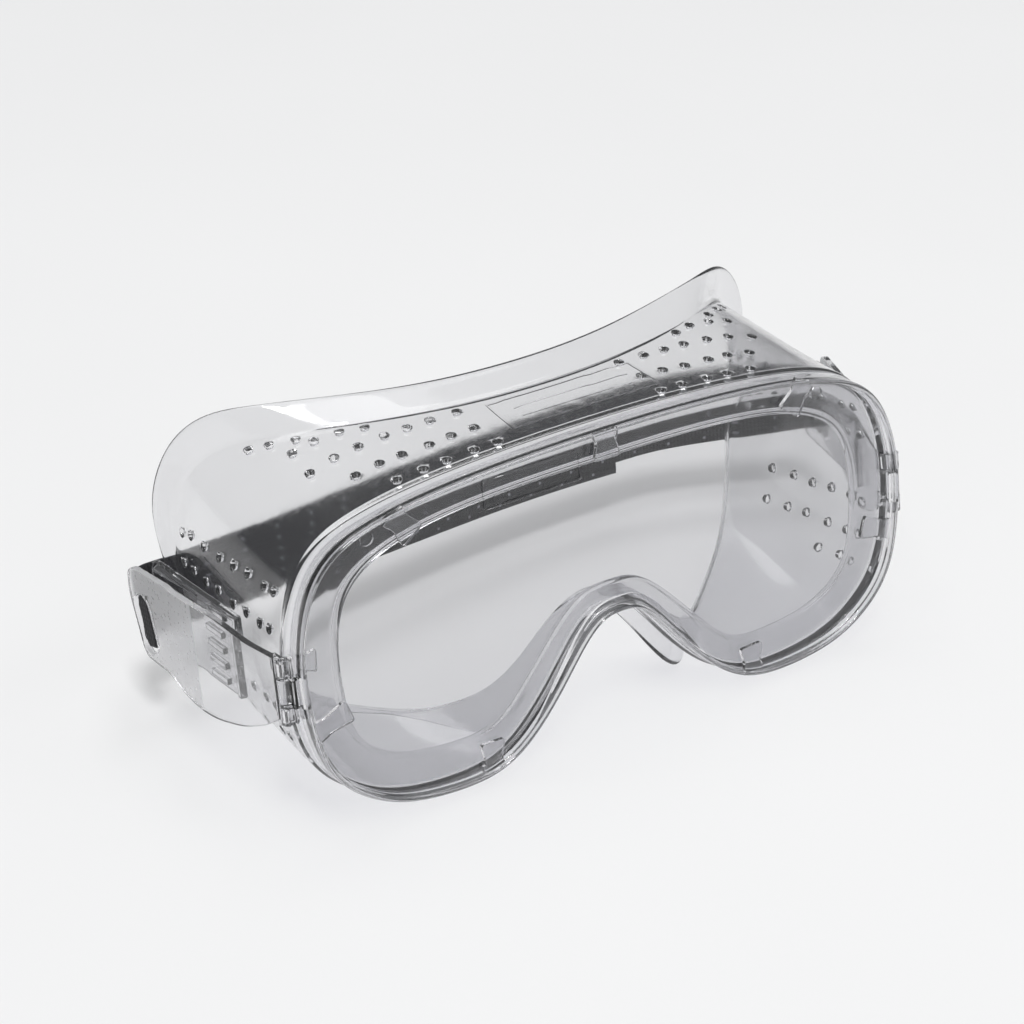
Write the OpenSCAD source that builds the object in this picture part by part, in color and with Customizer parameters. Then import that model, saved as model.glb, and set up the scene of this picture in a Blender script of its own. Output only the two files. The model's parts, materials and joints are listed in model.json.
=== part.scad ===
// Perforated cover goggles: a soft clear frame, a flat clear lens, two hinged strap clips and a strap.
// Everything is drawn in the lens frame (X across the face, Y back from the lens, Z up) and then set
// on the ground, leaning back, by stand().

/* [Stance] */
// Backward lean of the lens when the goggles stand on a table, degrees
lean = 9; // [5:0.5:12]
// How far the right clip is swung out from its closed place, degrees
right_swing = 18; // [0:1:25]

/* [Frame] */
// Half width of the rim
rim_half_w = 82.5; // [78:0.5:86]
// Height of the rim's top edge above the middle of the window
rim_top = 36.8; // [34:0.2:40]
// Thickness of the soft wall
wall = 1.6; // [1.2:0.1:2.2]
// Thickness of the face flange at its free edge
flange_edge = 1.0; // [0.8:0.1:1.6]
// How far the rim stands out in front of the lens
rim_front = 2.3; // [1.6:0.1:3]
// Depth of the rim behind the lens face
rim_back = 5; // [4.5:0.1:6]
// Step from the rim out to the body wall
body_step = 0.8; // [0.5:0.1:0.9]
// Diameter of one vent hole
vent_d = 2.2; // [1.8:0.1:2.6]
// Distance between neighbouring vents along a temple row
vent_pitch = 7.1; // [6.5:0.1:7.3]
// Distance between rows of brow vents, front to back
vent_row = 8.6; // [8:0.1:9]
// Distance between columns of brow vents, side to side
vent_column = 6.4; // [6:0.1:6.8]

/* [Lens] */
// Thickness of the lens plate
lens_t = 2; // [1.8:0.1:2.2]
// Play between the lens and the frame
lens_play = 0.25; // [0.15:0.05:0.4]

/* [Clip] */
// Distance from the middle of the goggles to the hinge axis
hinge_x = 84.2; // [84.2:0.1:85.5]
// Distance from the front of the lens back to the hinge axis
hinge_y = 3; // [2.6:0.1:3.4]
// Radius of the lens pivot
pivot_r = 1.1; // [1:0.05:1.2]
// Radial play in the hinge
hinge_play = 0.05; // [0.02:0.01:0.09]
// Outer radius of a knuckle
knuckle_r = 2; // [1.9:0.05:2.1]
// Outward splay of the clip arm, degrees
arm_splay = 5.5; // [5:0.5:6]
// Length of the clip arm from the hinge axis
arm_len = 64; // [62:1:66]
// Thickness of the clip arm
arm_t = 1.6; // [1.4:0.1:1.6]
// Height of the strap slot in the arm
slot_h = 15; // [13:0.5:16]
// Width of the strap slot in the arm
slot_w = 6.5; // [5:0.5:7]

/* [Strap] */
// Width of the webbing
strap_w = 18; // [16:0.5:18]
// Thickness of the webbing
strap_t = 1.3; // [1:0.1:1.5]
// How far the slack strap bows out behind the goggles
strap_bow = 12; // [6:1:16]
// Length of the free tail that lies along the strap
tail_len = 132; // [90:2:140]

/* [Hidden] */
$fn = 48;

// Curves around the goggles are closed quadratic splines over half outlines that are mirrored left to right.
steps = 3;
rim_half = [[0, rim_top], [30, rim_top - 0.6], [58, rim_top - 3.2], [76, rim_top - 9.3],
            [rim_half_w + 0.3, 10], [rim_half_w - 0.1, -9], [rim_half_w - 4, -25], [65, -35.5],
            [49, -38.4], [33, -37.6], [20, -26.5], [7.5, -9.4], [0, -7.8]];
window_half = [[0, 28.5], [28, 28.4], [52, 26], [67, 19.5], [71.6, 8], [71.6, -6], [69.5, -19.5], [59, -27],
               [46, -28.9], [33.5, -29], [23, -18], [9.5, -2.8], [0, -2.2]];
ridge_half = [[0, 27, 39.8], [28, 29, 40.2], [56, 38, 41], [74, 56, 36.5], [81.5, 61, 20], [79.5, 63, -3],
              [76, 60, -18], [66, 50, -27], [52, 38, -31], [38, 26, -33], [24, 17, -27], [10, 13, -11.5],
              [0, 12.5, -7]];
edge_half = [[0, 36, 43.2], [28, 38.5, 43.6], [58, 45, 46.5], [77, 56, 45], [86.5, 61, 26], [81, 66, 2],
             [78.5, 64.5, -19], [68, 54, -30], [54, 42, -33.4], [39, 29, -36.3], [22, 17, -33], [8, 14, -14],
             [0, 14.5, -9]];

function mix(a, b, t) = a + (b - a) * t;
function mirrored(half) = concat(half, [for (i = [len(half) - 2 : -1 : 1])
    [for (k = [0 : len(half[i]) - 1]) k == 0 ? -half[i][k] : half[i][k]]]);
function spline(ctrl) = [for (i = [0 : len(ctrl) - 1], k = [0 : steps - 1])
    let (n = len(ctrl), t = k / steps, a = ctrl[(i + n - 1) % n], b = ctrl[i], c = ctrl[(i + 1) % n])
    (a + b) / 2 * pow(1 - t, 2) + b * 2 * t * (1 - t) + (b + c) / 2 * pow(t, 2)];
function unit(v) = v / norm(v);
function wrap(list, i) = list[(i + len(list)) % len(list)];

rim = spline(mirrored(rim_half));
window = spline(mirrored(window_half));
ridge = spline(mirrored(ridge_half));
edge = spline(mirrored(edge_half));
stations = len(rim);

// A point on the rim section: share 0 is the window's edge and share 1 is the rim's outer face.
function rim_at(i, share, y) = let (p = mix(wrap(window, i), wrap(rim, i), share)) [p[0], y, p[1]];
// Outward direction of the rim in the lens plane.
function rim_out(i) = let (d = unit(wrap(rim, i + 1) - wrap(rim, i - 1))) [-d[1], 0, d[0]];
shoulder_y = rim_back + 2;
shoulder = [for (i = [0 : stations - 1]) rim_at(i, 1, shoulder_y) + rim_out(i) * body_step];
waist = [for (i = [0 : stations - 1]) mix(shoulder[i], ridge[i], 0.5) + rim_out(i) * 0.4];
// Inner face of a ring: moved along the surface's own normal.
function inward(before, ring, after, t) = [for (i = [0 : stations - 1])
    ring[i] - unit(cross(wrap(ring, i + 1) - wrap(ring, i - 1), after[i] - before[i])) * t];
shoulder_in = inward(shoulder, shoulder, waist, wall);
waist_in = inward(shoulder, waist, ridge, wall);
ridge_in = inward(waist, ridge, edge, wall);
edge_in = inward(ridge, edge, edge + (edge - ridge), flange_edge);

// One closed section of the frame at a station, walked from the rim's front round to the lens seat.
seat_y = lens_t + lens_play;
wall_share = 0.885;
nose_station = 37.5;
lip_spread = 7;
// Inner edge of the lip over the lens: a narrow bead all round that grows into a wide tab at the nose.
function lip_share(i) = wall_share - 0.04 - 0.42 * max(0, 1 - pow((i - nose_station) / lip_spread, 2));
function section(i) = [
    rim_at(i, wall_share, -0.2), rim_at(i, lip_share(i), -0.25), rim_at(i, lip_share(i), -1.1),
    rim_at(i, wall_share, -1.3), rim_at(i, wall_share + 0.01, -rim_front + 0.4), rim_at(i, 0.94, -rim_front),
    rim_at(i, 0.985, -rim_front + 0.3), rim_at(i, 1, -rim_front + 1), rim_at(i, 1, rim_back),
    shoulder[i], waist[i], ridge[i], edge[i], edge_in[i], ridge_in[i], waist_in[i], shoulder_in[i],
    rim_at(i, 0.86, rim_back), rim_at(i, 0.16, seat_y + 1.5), rim_at(i, 0.04, seat_y + 2.3),
    rim_at(i, -0.03, seat_y + 1.6), rim_at(i, 0, seat_y), rim_at(i, wall_share, seat_y)];
rows = len(section(0));

module frame_shell() {
    points = [for (i = [0 : stations - 1]) each section(i)];
    faces = [for (i = [0 : stations - 1], k = [0 : rows - 1])
        let (j = (i + 1) % stations, m = (k + 1) % rows)
        each [[i * rows + k, j * rows + m, j * rows + k], [i * rows + k, i * rows + m, j * rows + m]]];
    polyhedron(points, faces);
}

// Retaining tabs moulded on the rim reach over the front of the lens. Each is named by its place along
// the outline, counted in stations from the left of the brow, and has a twin on the other side.
tab_t = 1.15;
tab_lift = 0.17;
tab_round = 0.4;
tab_places = [[7.5, 6], [12.6, 5], [17.2, 5], [27.8, 6]];
function along(ring, f) = mix(wrap(ring, floor(f)), wrap(ring, floor(f) + 1), f - floor(f));
module tab(f, width) {
    outer = along(rim, f);
    inner = along(window, f);
    inward_dir = unit(inner - outer);
    across = [-inward_dir[1], inward_dir[0]] * (width / 2 - tab_round);
    hull()
        for (p = [outer + inward_dir * (tab_round + 0.1), mix(inner, outer, 0.12)], side = [-1, 1])
            translate([p[0] + side * across[0], -tab_lift, p[1] + side * across[1]])
                rotate([90, 0, 0])
                    cylinder(r = tab_round, h = tab_t, $fn = 12);
}
module tabs() {
    tab(1.5, 7);
    for (place = tab_places) {
        tab(place[0], place[1]);
        tab(3 - place[0] + stations, place[1]);
    }
}

// Vents: rows across the brow on both sides, and rows along each temple.
vent_rows_brow = [[0, 2], [0, 2], [0, 2], [0, 3], [0, 3], [1, 4], [2, 5]];
vent_rows_side = [[18, 8], [9.4, 8], [-9, 6], [-17.5, 6], [-24, 3]];
vent_first = 8.8;
module vent_cutters() {
    for (side = [-1, 1]) {
        for (column = [0 : len(vent_rows_brow) - 1],
             row = [vent_rows_brow[column][0] : vent_rows_brow[column][1]])
            translate([side * (22.6 + column * vent_column), vent_first + row * vent_row, 24])
                cylinder(d = vent_d, h = 26, $fn = 6);
        for (line = vent_rows_side, k = [0 : line[1] - 1])
            translate([side * 70, vent_first + k * vent_pitch, line[0]])
                rotate([0, side * 90, 0])
                    cylinder(d = vent_d, h = 20, $fn = 6);
    }
}

ear_h = 6.8;
ear_z = -2;
knuckle_h = 3.7;
arm_top = 5.5;
arm_low = -9.5;
recess_play = 0.35;
// Each ear comes out through a slot, into an upright recess in the rim that clears the hinge.
module ear_slots() {
    for (side = [-1, 1]) {
        translate([side * 80 - 10, -0.35, ear_z - ear_h / 2 - 0.4])
            cube([20, seat_y + 0.35, ear_h + 0.8]);
        translate([side * hinge_x, hinge_y, arm_low - 0.5])
            cylinder(r = knuckle_r + recess_play, h = arm_top - arm_low + 1);
    }
}

module frame_body() {
    color([0.84, 0.84, 0.86, 0.5])
        stand()
            difference() {
                union() {
                    frame_shell();
                    tabs();
                }
                vent_cutters();
                ear_slots();
            }
}

// Lens plate with an ear at each side that ends in a barrel and an upright pivot.
lens_share = 0.86;
pivot_h = arm_top - arm_low + 0.4;
module lens() {
    outline = [for (i = [0 : stations - 1]) mix(window[i], rim[i], lens_share)];
    color([0.9, 0.92, 0.94, 0.35])
        stand() {
            translate([0, lens_t, 0])
                rotate([90, 0, 0])
                    linear_extrude(lens_t)
                        polygon(outline);
            for (side = [-1, 1]) {
                translate([side * (hinge_x + 72) / 2 - (hinge_x - 72) / 2, 0, ear_z - ear_h / 2])
                    cube([hinge_x - 72, lens_t, ear_h]);
                translate([side * hinge_x, hinge_y, ear_z - ear_h / 2])
                    cylinder(r = knuckle_r - 0.1, h = ear_h);
                translate([side * hinge_x, hinge_y, arm_low - 0.2])
                    cylinder(r = pivot_r, h = pivot_h);
            }
        }
}

// Clips are drawn for the right side, with the hinge axis as Z and the arm running back along Y.
module on_hinge(side) {
    stand()
        translate([side * hinge_x, hinge_y, 0])
            mirror([side < 0 ? 1 : 0, 0, 0])
                rotate([0, 0, side > 0 ? -right_swing : 0])
                    children();
}
// A flat outline of [back, up] points, given thickness outwards.
module upright(thickness) {
    rotate([90, 0, 90])
        linear_extrude(thickness)
            children();
}

arm_front = 4;
arm_outline = [[arm_front, arm_top], [13, arm_top + 0.2], [20, 6.9], [27, 8.1], [44, 8.6], [47, 9.2],
               [arm_len - 2.8, 9.4], [arm_len - 0.8, 8], [arm_len, 3], [arm_len - 3.5, -11], [arm_len - 5, -13],
               [arm_len - 10, -13.6], [49, -14], [43.5, -17], [37, -18.6], [29, -18.8], [18, -16.8], [9, -13.2],
               [arm_front, arm_low]];
slot_u = arm_len - 6.2;
slot_z = -4.3;
module strap_slot() {
    translate([slot_u, slot_z])
        rotate(-12) {
            square([slot_w, slot_h - slot_w], center = true);
            for (end = [-1, 1])
                translate([0, end * (slot_h - slot_w) / 2])
                    circle(d = slot_w);
        }
}
module clip_arm(side) {
    color([0.88, 0.9, 0.92, 0.5])
        on_hinge(side)
            rotate([0, 0, -arm_splay])
                difference() {
                    union() {
                        translate([-arm_t / 2, 0, 0])
                            upright(arm_t)
                                difference() {
                                    polygon(arm_outline);
                                    strap_slot();
                                }
                        for (low = [arm_low, arm_top - knuckle_h]) {
                            translate([0, 0, low])
                                cylinder(r = knuckle_r, h = knuckle_h);
                            translate([-arm_t / 2, 0, low])
                                cube([arm_t, arm_front + 1, knuckle_h]);
                        }
                    }
                    translate([0, 0, arm_low - 1])
                        cylinder(r = pivot_r + hinge_play, h = arm_top - arm_low + 2);
                    // snap mouth, narrower than the pivot
                    translate([-pivot_r * 0.75, -knuckle_r - 1, arm_low - 1])
                        cube([pivot_r * 1.5, knuckle_r + 1, arm_top - arm_low + 2]);
                }
}

// Keeper: an inner plate that closes on the arm and holds the webbing against it.
keeper_front = 19;
keeper_back = 63;
keeper_in = -0.3;
keeper_t = 1.2;
keeper_top = 9.4;
keeper_low = -10.6;
module strap_keeper(side) {
    height = keeper_top - keeper_low;
    reach = keeper_front * tan(arm_splay) - arm_t / 2 - keeper_in;
    color([0.88, 0.9, 0.92, 0.5])
        on_hinge(side) {
            translate([keeper_in, keeper_front, keeper_low])
                cube([keeper_t, keeper_back - keeper_front, height]);
            translate([keeper_in, keeper_front, keeper_low])
                cube([reach, 1.4, height]);
            for (step = [0 : 4])
                translate([keeper_in, keeper_front + 5.2, keeper_low + 2 + step * 3.8])
                    cube([keeper_t + 0.55, 7, 1.6]);
        }
}

// Webbing: each loop lies along the outside of a keeper, rounds its back end and leads inwards.
strap_low = -10.5;
bend_mid = keeper_in + keeper_t / 2;
bend_in = keeper_t / 2 + 0.2;
lead_len = 6;
leg_tip = 41;
leg_root = 56;
module strap_loop(side) {
    color([0.09, 0.09, 0.1])
        on_hinge(side) {
            translate([bend_mid + bend_in, 0, 0])
                upright(strap_t)
                    polygon([[keeper_back, strap_low], [keeper_back, strap_low + strap_w],
                             [leg_tip, strap_low + strap_w], [leg_root, strap_low]]);
            translate([bend_mid, keeper_back, strap_low])
                linear_extrude(strap_w)
                    intersection() {
                        difference() {
                            circle(r = bend_in + strap_t);
                            circle(r = bend_in);
                        }
                        square(bend_in + strap_t);
                    }
            translate([bend_mid - lead_len, keeper_back + bend_in, strap_low])
                cube([lead_len, strap_t, strap_w]);
        }
}

// The slack stretch behind the goggles bows backwards, and the free tail lies along it.
span_left = -(hinge_x + bend_mid - lead_len - 0.5);
span_right = 60;
span_y = hinge_y + keeper_back + bend_in;
bow_peak = 47;
function bow(x) = span_y + strap_bow * (1 - cos((x - span_left) * 180 / (bow_peak - span_left))) / 2;
// A length of webbing on edge along the bow, moved back by a distance.
module webbing(from, to, back) {
    places = [for (k = [0 : 24]) mix(from, to, k / 24)];
    linear_extrude(strap_w)
        polygon(concat([for (x = places) [x, bow(x) + back]],
                       [for (k = [24 : -1 : 0]) [places[k], bow(places[k]) + back + strap_t]]));
}
module strap_span() {
    color([0.09, 0.09, 0.1])
        stand()
            translate([0, 0, strap_low])
                webbing(span_left, span_right, 0);
}
tail_gap = 0.12;
tail_drop = 0.6;
tail_tilt = 1.3;
module strap_tail() {
    color([0.11, 0.11, 0.12])
        stand()
            translate([span_left, 0, strap_low - tail_drop])
                rotate([0, tail_tilt, 0])
                    translate([-span_left, 0, 0])
                        webbing(span_left + 0.5, span_left + tail_len, strap_t + tail_gap);
}

// Set the goggles on the ground with the middle of their outer box at the origin.
low_points = [for (p = concat(shoulder, edge)) p[2] * cos(lean) - p[1] * sin(lean)];
front_points = [for (p = rim) -rim_front * cos(lean) + p[1] * sin(lean)];
function reach(angle) = arm_len * sin(angle) + arm_t / 2 * cos(angle);
tail_top = strap_low + strap_w - tail_drop;
tail_points = [for (x = [span_left : 1 : span_left + tail_len])
    let (top = tail_top - (x - span_left) * sin(tail_tilt))
        (bow(x) + 2 * strap_t + tail_gap) * cos(lean) + top * sin(lean)];
box_right = reach(arm_splay + right_swing);
box_left = -reach(arm_splay);
box_front = min(front_points);
box_back = max(tail_points);
module stand() {
    translate([-(box_right + box_left) / 2, -(box_front + box_back) / 2, -min(low_points)])
        rotate([-lean, 0, 0])
            children();
}

frame_body();
lens();
clip_arm(-1);  // left_clip_arm
strap_keeper(-1);  // left_strap_keeper
clip_arm(1);  // right_clip_arm
strap_keeper(1);  // right_strap_keeper
strap_loop(-1);  // left_strap_loop
strap_loop(1);  // right_strap_loop
strap_span();
strap_tail();
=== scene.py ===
"""Safety goggles: soft clear frame, flat lens, hinged strap clips and black webbing, round the CAD frame."""
import json
import math
import bpy
import bmesh
import numpy as np
from mathutils import Matrix, Vector


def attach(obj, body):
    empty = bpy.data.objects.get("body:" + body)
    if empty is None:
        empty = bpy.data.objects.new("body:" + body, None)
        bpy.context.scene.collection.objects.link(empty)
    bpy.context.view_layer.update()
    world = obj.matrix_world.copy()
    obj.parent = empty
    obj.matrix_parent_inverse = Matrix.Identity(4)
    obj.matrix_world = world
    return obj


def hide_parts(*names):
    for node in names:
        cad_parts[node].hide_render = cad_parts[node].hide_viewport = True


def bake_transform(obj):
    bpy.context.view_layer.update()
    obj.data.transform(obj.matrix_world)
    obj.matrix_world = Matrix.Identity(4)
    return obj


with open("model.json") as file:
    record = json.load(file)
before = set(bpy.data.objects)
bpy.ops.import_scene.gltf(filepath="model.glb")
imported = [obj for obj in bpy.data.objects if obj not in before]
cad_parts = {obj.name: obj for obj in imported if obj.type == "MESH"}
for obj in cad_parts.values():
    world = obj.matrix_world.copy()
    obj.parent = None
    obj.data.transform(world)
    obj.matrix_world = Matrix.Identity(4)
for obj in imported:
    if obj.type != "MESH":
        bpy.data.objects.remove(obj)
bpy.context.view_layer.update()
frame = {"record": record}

# ---------------------------------------------------------------- the lens frame
# Shapes are written in millimetres in the lens frame (X across, Y back from the lens, Z up), the one that
# part.scad draws in. STAND sets them on the table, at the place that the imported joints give.
LEAN = math.radians(9)
JOINTS = {j["name"]: j for j in frame["record"]["behaviour"]["joints"]}
LEFT_PIN = Vector(JOINTS["left_clip_hinge"]["pos_m"])
RIGHT_PIN = Vector(JOINTS["right_clip_hinge"]["pos_m"])
HINGE_X, HINGE_Y = 84.2, 3.0  # the clip pivots, in the lens frame
TILT = Matrix.Rotation(-LEAN, 4, "X")
ORIGIN = (LEFT_PIN + RIGHT_PIN) / 2 - TILT.to_3x3() @ Vector((0, HINGE_Y / 1000, 0))
STAND = Matrix.Translation(ORIGIN) @ TILT @ Matrix.Scale(0.001, 4)
SWING = 18  # degrees that the right clip stands out at rest

# ---------------------------------------------------------------- camera
VIEW_AZ, VIEW_EL = math.radians(-32.85), math.radians(30.62)
DISTANCE = 0.641
look_at = ORIGIN + Vector((-0.0156, 0.0190, 0.0126))
back = Vector((math.sin(VIEW_AZ) * math.cos(VIEW_EL), -math.cos(VIEW_AZ) * math.cos(VIEW_EL), math.sin(VIEW_EL)))
camera = bpy.data.objects.new("camera", bpy.data.cameras.new("camera"))
camera.data.sensor_width = 36
camera.data.lens = 98.26
camera.data.clip_start = 0.01
camera.location = look_at + back * DISTANCE
camera.rotation_euler = (-back).to_track_quat("-Z", "Y").to_euler()
bpy.context.collection.objects.link(camera)
bpy.context.scene.camera = camera


# ---------------------------------------------------------------- mesh helpers
UP = (0, 0, 1)
ROUND = 40  # sides of a turned shape


def link(name, mesh):
    obj = bpy.data.objects.new(name, mesh)
    bpy.context.collection.objects.link(obj)
    return obj


def mesh_object(name, points, faces):
    mesh = bpy.data.meshes.new(name)
    mesh.from_pydata([tuple(p) for p in points], [], faces)
    mesh.validate()
    mesh.update()
    for poly in mesh.polygons:
        poly.use_smooth = True
    return link(name, mesh)


def face_outwards(bm):
    """Turn every face of a closed mesh outwards."""
    bmesh.ops.recalc_face_normals(bm, faces=bm.faces)
    if bm.calc_volume(signed=True) < 0:
        bmesh.ops.reverse_faces(bm, faces=bm.faces)


def fix_normals(obj):
    bm = bmesh.new()
    bm.from_mesh(obj.data)
    face_outwards(bm)
    bm.to_mesh(obj.data)
    bm.free()


def add_modifier(obj, kind, **settings):
    mod = obj.modifiers.new(kind.lower(), kind)
    for key, value in settings.items():
        setattr(mod, key, value)
    return mod


def apply_modifiers(obj):
    deps = bpy.context.evaluated_depsgraph_get()
    mesh = bpy.data.meshes.new_from_object(obj.evaluated_get(deps))
    obj.modifiers.clear()
    old = obj.data
    obj.data = mesh
    bpy.data.meshes.remove(old)


def boolean(obj, other, operation):
    add_modifier(obj, "BOOLEAN", operation=operation, object=other, solver="MANIFOLD")
    apply_modifiers(obj)
    bpy.data.objects.remove(other, do_unlink=True)


def joined(name, parts):
    """One mesh from separate closed shells that don't touch."""
    bm = bmesh.new()
    for part in parts:
        bm.from_mesh(part.data)
        bpy.data.objects.remove(part, do_unlink=True)
    mesh = bpy.data.meshes.new(name)
    bm.to_mesh(mesh)
    bm.free()
    return link(name, mesh)


def set_smooth(obj, angle):
    """Smooth shading, with edges sharper than angle (degrees) kept sharp."""
    for poly in obj.data.polygons:
        poly.use_smooth = True
    bm = bmesh.new()
    bm.from_mesh(obj.data)
    limit = math.radians(angle)
    for e in bm.edges:
        e.smooth = not (len(e.link_faces) == 2 and e.calc_face_angle(0) > limit)
    bm.to_mesh(obj.data)
    bm.free()


def place(obj, matrix=None):
    """Set a piece drawn in the lens frame, or on a hinge, on the table in metres."""
    obj.data.transform(STAND @ matrix if matrix else STAND)
    if matrix and matrix.determinant() < 0:
        obj.data.flip_normals()
    obj.data.update()


def harden(obj):
    """Keep flat faces flat to the eye beside their rounded rims."""
    add_modifier(obj, "WEIGHTED_NORMAL", mode="FACE_AREA", weight=60, keep_sharp=True)
    apply_modifiers(obj)


def tube(radius, height, axis, centre, sides=ROUND):
    """A cylinder from -height/2 to height/2 along axis."""
    bm = bmesh.new()
    bmesh.ops.create_cone(bm, cap_ends=True, segments=sides, radius1=radius, radius2=radius, depth=height)
    turn = Vector(axis).to_track_quat("Z", "Y").to_matrix().to_4x4()
    bmesh.ops.transform(bm, matrix=Matrix.Translation(centre) @ turn, verts=bm.verts)
    mesh = bpy.data.meshes.new("tube")
    bm.to_mesh(mesh)
    bm.free()
    return link("tube", mesh)


def block(x0, x1, y0, y1, z0, z1, bevel=0.0, segments=2):
    """A box between two corners, with rounded edges."""
    bm = bmesh.new()
    bmesh.ops.create_cube(bm, size=1)
    for v in bm.verts:
        v.co = Vector((x0 + (v.co.x + 0.5) * (x1 - x0), y0 + (v.co.y + 0.5) * (y1 - y0),
                       z0 + (v.co.z + 0.5) * (z1 - z0)))
    if bevel:
        bmesh.ops.bevel(bm, geom=bm.edges[:], offset=bevel, segments=segments, profile=0.5, affect="EDGES")
    mesh = bpy.data.meshes.new("block")
    bm.to_mesh(mesh)
    bm.free()
    return link("block", mesh)


def prism(name, outline, thickness, bevel=0.3, segments=3, holes=(), to_3d=None):
    """A flat outline of 2-D points given thickness, with rounded rims. to_3d turns (u, v, w) into a point."""
    bm = bmesh.new()
    loops = [outline] + list(holes)
    edges = []
    for loop in loops:
        verts = [bm.verts.new((u, v, 0)) for u, v in loop]
        edges += [bm.edges.new((verts[i], verts[(i + 1) % len(verts)])) for i in range(len(verts))]
    bmesh.ops.triangle_fill(bm, use_beauty=True, use_dissolve=True, edges=edges)
    bmesh.ops.recalc_face_normals(bm, faces=bm.faces)
    flat = bm.faces[:]
    out = bmesh.ops.extrude_face_region(bm, geom=flat)
    new = [g for g in out["geom"] if isinstance(g, bmesh.types.BMVert)]
    bmesh.ops.translate(bm, verts=new, vec=(0, 0, thickness))
    bmesh.ops.recalc_face_normals(bm, faces=bm.faces)
    if bevel:
        rims = [e for e in bm.edges if len(e.link_faces) == 2 and e.calc_face_angle(0) > math.radians(60)
                and abs(e.verts[0].co.z - e.verts[1].co.z) < 1e-6]
        bmesh.ops.bevel(bm, geom=rims, offset=bevel, segments=segments, profile=0.5, affect="EDGES",
                        clamp_overlap=True)
    if to_3d:
        for v in bm.verts:
            v.co = to_3d(*v.co)
    face_outwards(bm)
    mesh = bpy.data.meshes.new(name)
    bm.to_mesh(mesh)
    bm.free()
    return link(name, mesh)


def rounded(points, radii, segments=6):
    """A polygon with each corner replaced by an arc-like curve of about the given radius."""
    out = []
    count = len(points)
    for i, p in enumerate(points):
        r = radii[i] if isinstance(radii, (list, tuple)) else radii
        p = Vector(p)
        a, b = Vector(points[i - 1]), Vector(points[(i + 1) % count])
        to_a, to_b = a - p, b - p
        reach = min(r, to_a.length * 0.48, to_b.length * 0.48)
        if reach < 0.02:
            out.append(tuple(p))
            continue
        start, end = p + to_a.normalized() * reach, p + to_b.normalized() * reach
        for k in range(segments + 1):
            t = k / segments
            out.append(tuple(start * (1 - t) ** 2 + p * 2 * t * (1 - t) + end * t ** 2))
    return out


def rectangle(x0, x1, z0, z1, radius):
    return rounded([(x0, z0), (x1, z0), (x1, z1), (x0, z1)], radius, 4)


# ---------------------------------------------------------------- outlines
# Half of each ring, from the middle of the brow to the middle of the nose arch. WINDOW is the edge that the
# lens shows inside, RIM the outer face, RIDGE the fold where the wall ends, EDGE the flange's free edge.
WINDOW = [(0, 28.5), (28, 28.4), (52, 26), (67, 19.5), (71.6, 8), (71.6, -6), (69.5, -19.5), (59, -27),
          (46, -28.9), (33.5, -29), (23, -18), (9.5, -2.8), (0, -2.2)]
RIM = [(0, 36.8), (30, 36.2), (58, 33.6), (76, 27.5), (82.8, 10), (82.4, -9), (78.5, -25), (65, -35.5),
       (49, -38.4), (33, -37.6), (20, -26.5), (7.5, -9.4), (0, -7.8)]
RIDGE = [(0, 27, 39.8), (28, 29, 40.2), (56, 38, 41), (74, 56, 36.5), (81.5, 61, 20), (79.5, 63, -3),
         (76, 60, -18), (66, 50, -27), (52, 38, -31), (38, 26, -33), (24, 17, -27), (10, 13, -11.5),
         (0, 12.5, -7)]
EDGE = [(0, 36, 43.2), (28, 38.5, 43.6), (58, 45, 46.5), (77, 56, 45), (86.5, 61, 26), (81, 66, 2),
        (78.5, 64.5, -19), (68, 54, -30), (54, 42, -33.4), (39, 29, -34), (24.5, 11, -40),
        (9, 13.5, -16), (0, 14.5, -9)]
STEPS = 6  # stations on each control point of an outline
LENS_T = 2.0
SEAT_Y = 2.25  # the ledge behind the lens
RIM_FRONT, RIM_BACK = 2.3, 5.0
WALL, EDGE_T = 1.6, 1.0  # thickness of the wall and of the flange's edge


def spline(half):
    """A smooth closed ring from half of its control points, mirrored across X."""
    ctrl = [np.array(p, float) for p in half]
    for p in half[-2:0:-1]:
        q = np.array(p, float)
        q[0] = -q[0]
        ctrl.append(q)
    out = []
    for i in range(len(ctrl)):
        a, b, c = ctrl[i - 1], ctrl[i], ctrl[(i + 1) % len(ctrl)]
        for k in range(STEPS):
            t = k / STEPS
            out.append((a + b) / 2 * (1 - t) ** 2 + b * 2 * t * (1 - t) + (b + c) / 2 * t * t)
    out = np.array(out)
    for _ in range(2):
        out = (np.roll(out, 1, 0) + 2 * out + np.roll(out, -1, 0)) / 4
    return out


window, rim, ridge, edge = spline(WINDOW), spline(RIM), spline(RIDGE), spline(EDGE)
STATIONS = len(window)
NOSE = 12.5 * STEPS  # station at the middle of the nose arch
tangent = np.roll(rim, -1, 0) - np.roll(rim, 1, 0)
tangent /= np.linalg.norm(tangent, axis=1)[:, None]
out_dir = np.stack([-tangent[:, 1], np.zeros(STATIONS), tangent[:, 0]], 1)


def at(share, y, off=0.0):
    """Ring on the rim section: share 0 is the window's edge, share 1 the rim's outer face."""
    share = np.broadcast_to(share, (STATIONS,))[:, None]
    p = window + (rim - window) * share
    return np.stack([p[:, 0], np.full(STATIONS, y, float), p[:, 1]], 1) + out_dir * off


def hermite(p0, m0, p1, m1, t):
    """A cubic curve from p0 to p1 with the end directions m0 and m1."""
    return (p0 * (2 * t**3 - 3 * t**2 + 1) + m0 * (t**3 - 2 * t**2 + t) + p1 * (3 * t**2 - 2 * t**3)
            + m1 * (t**3 - t**2))


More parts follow.
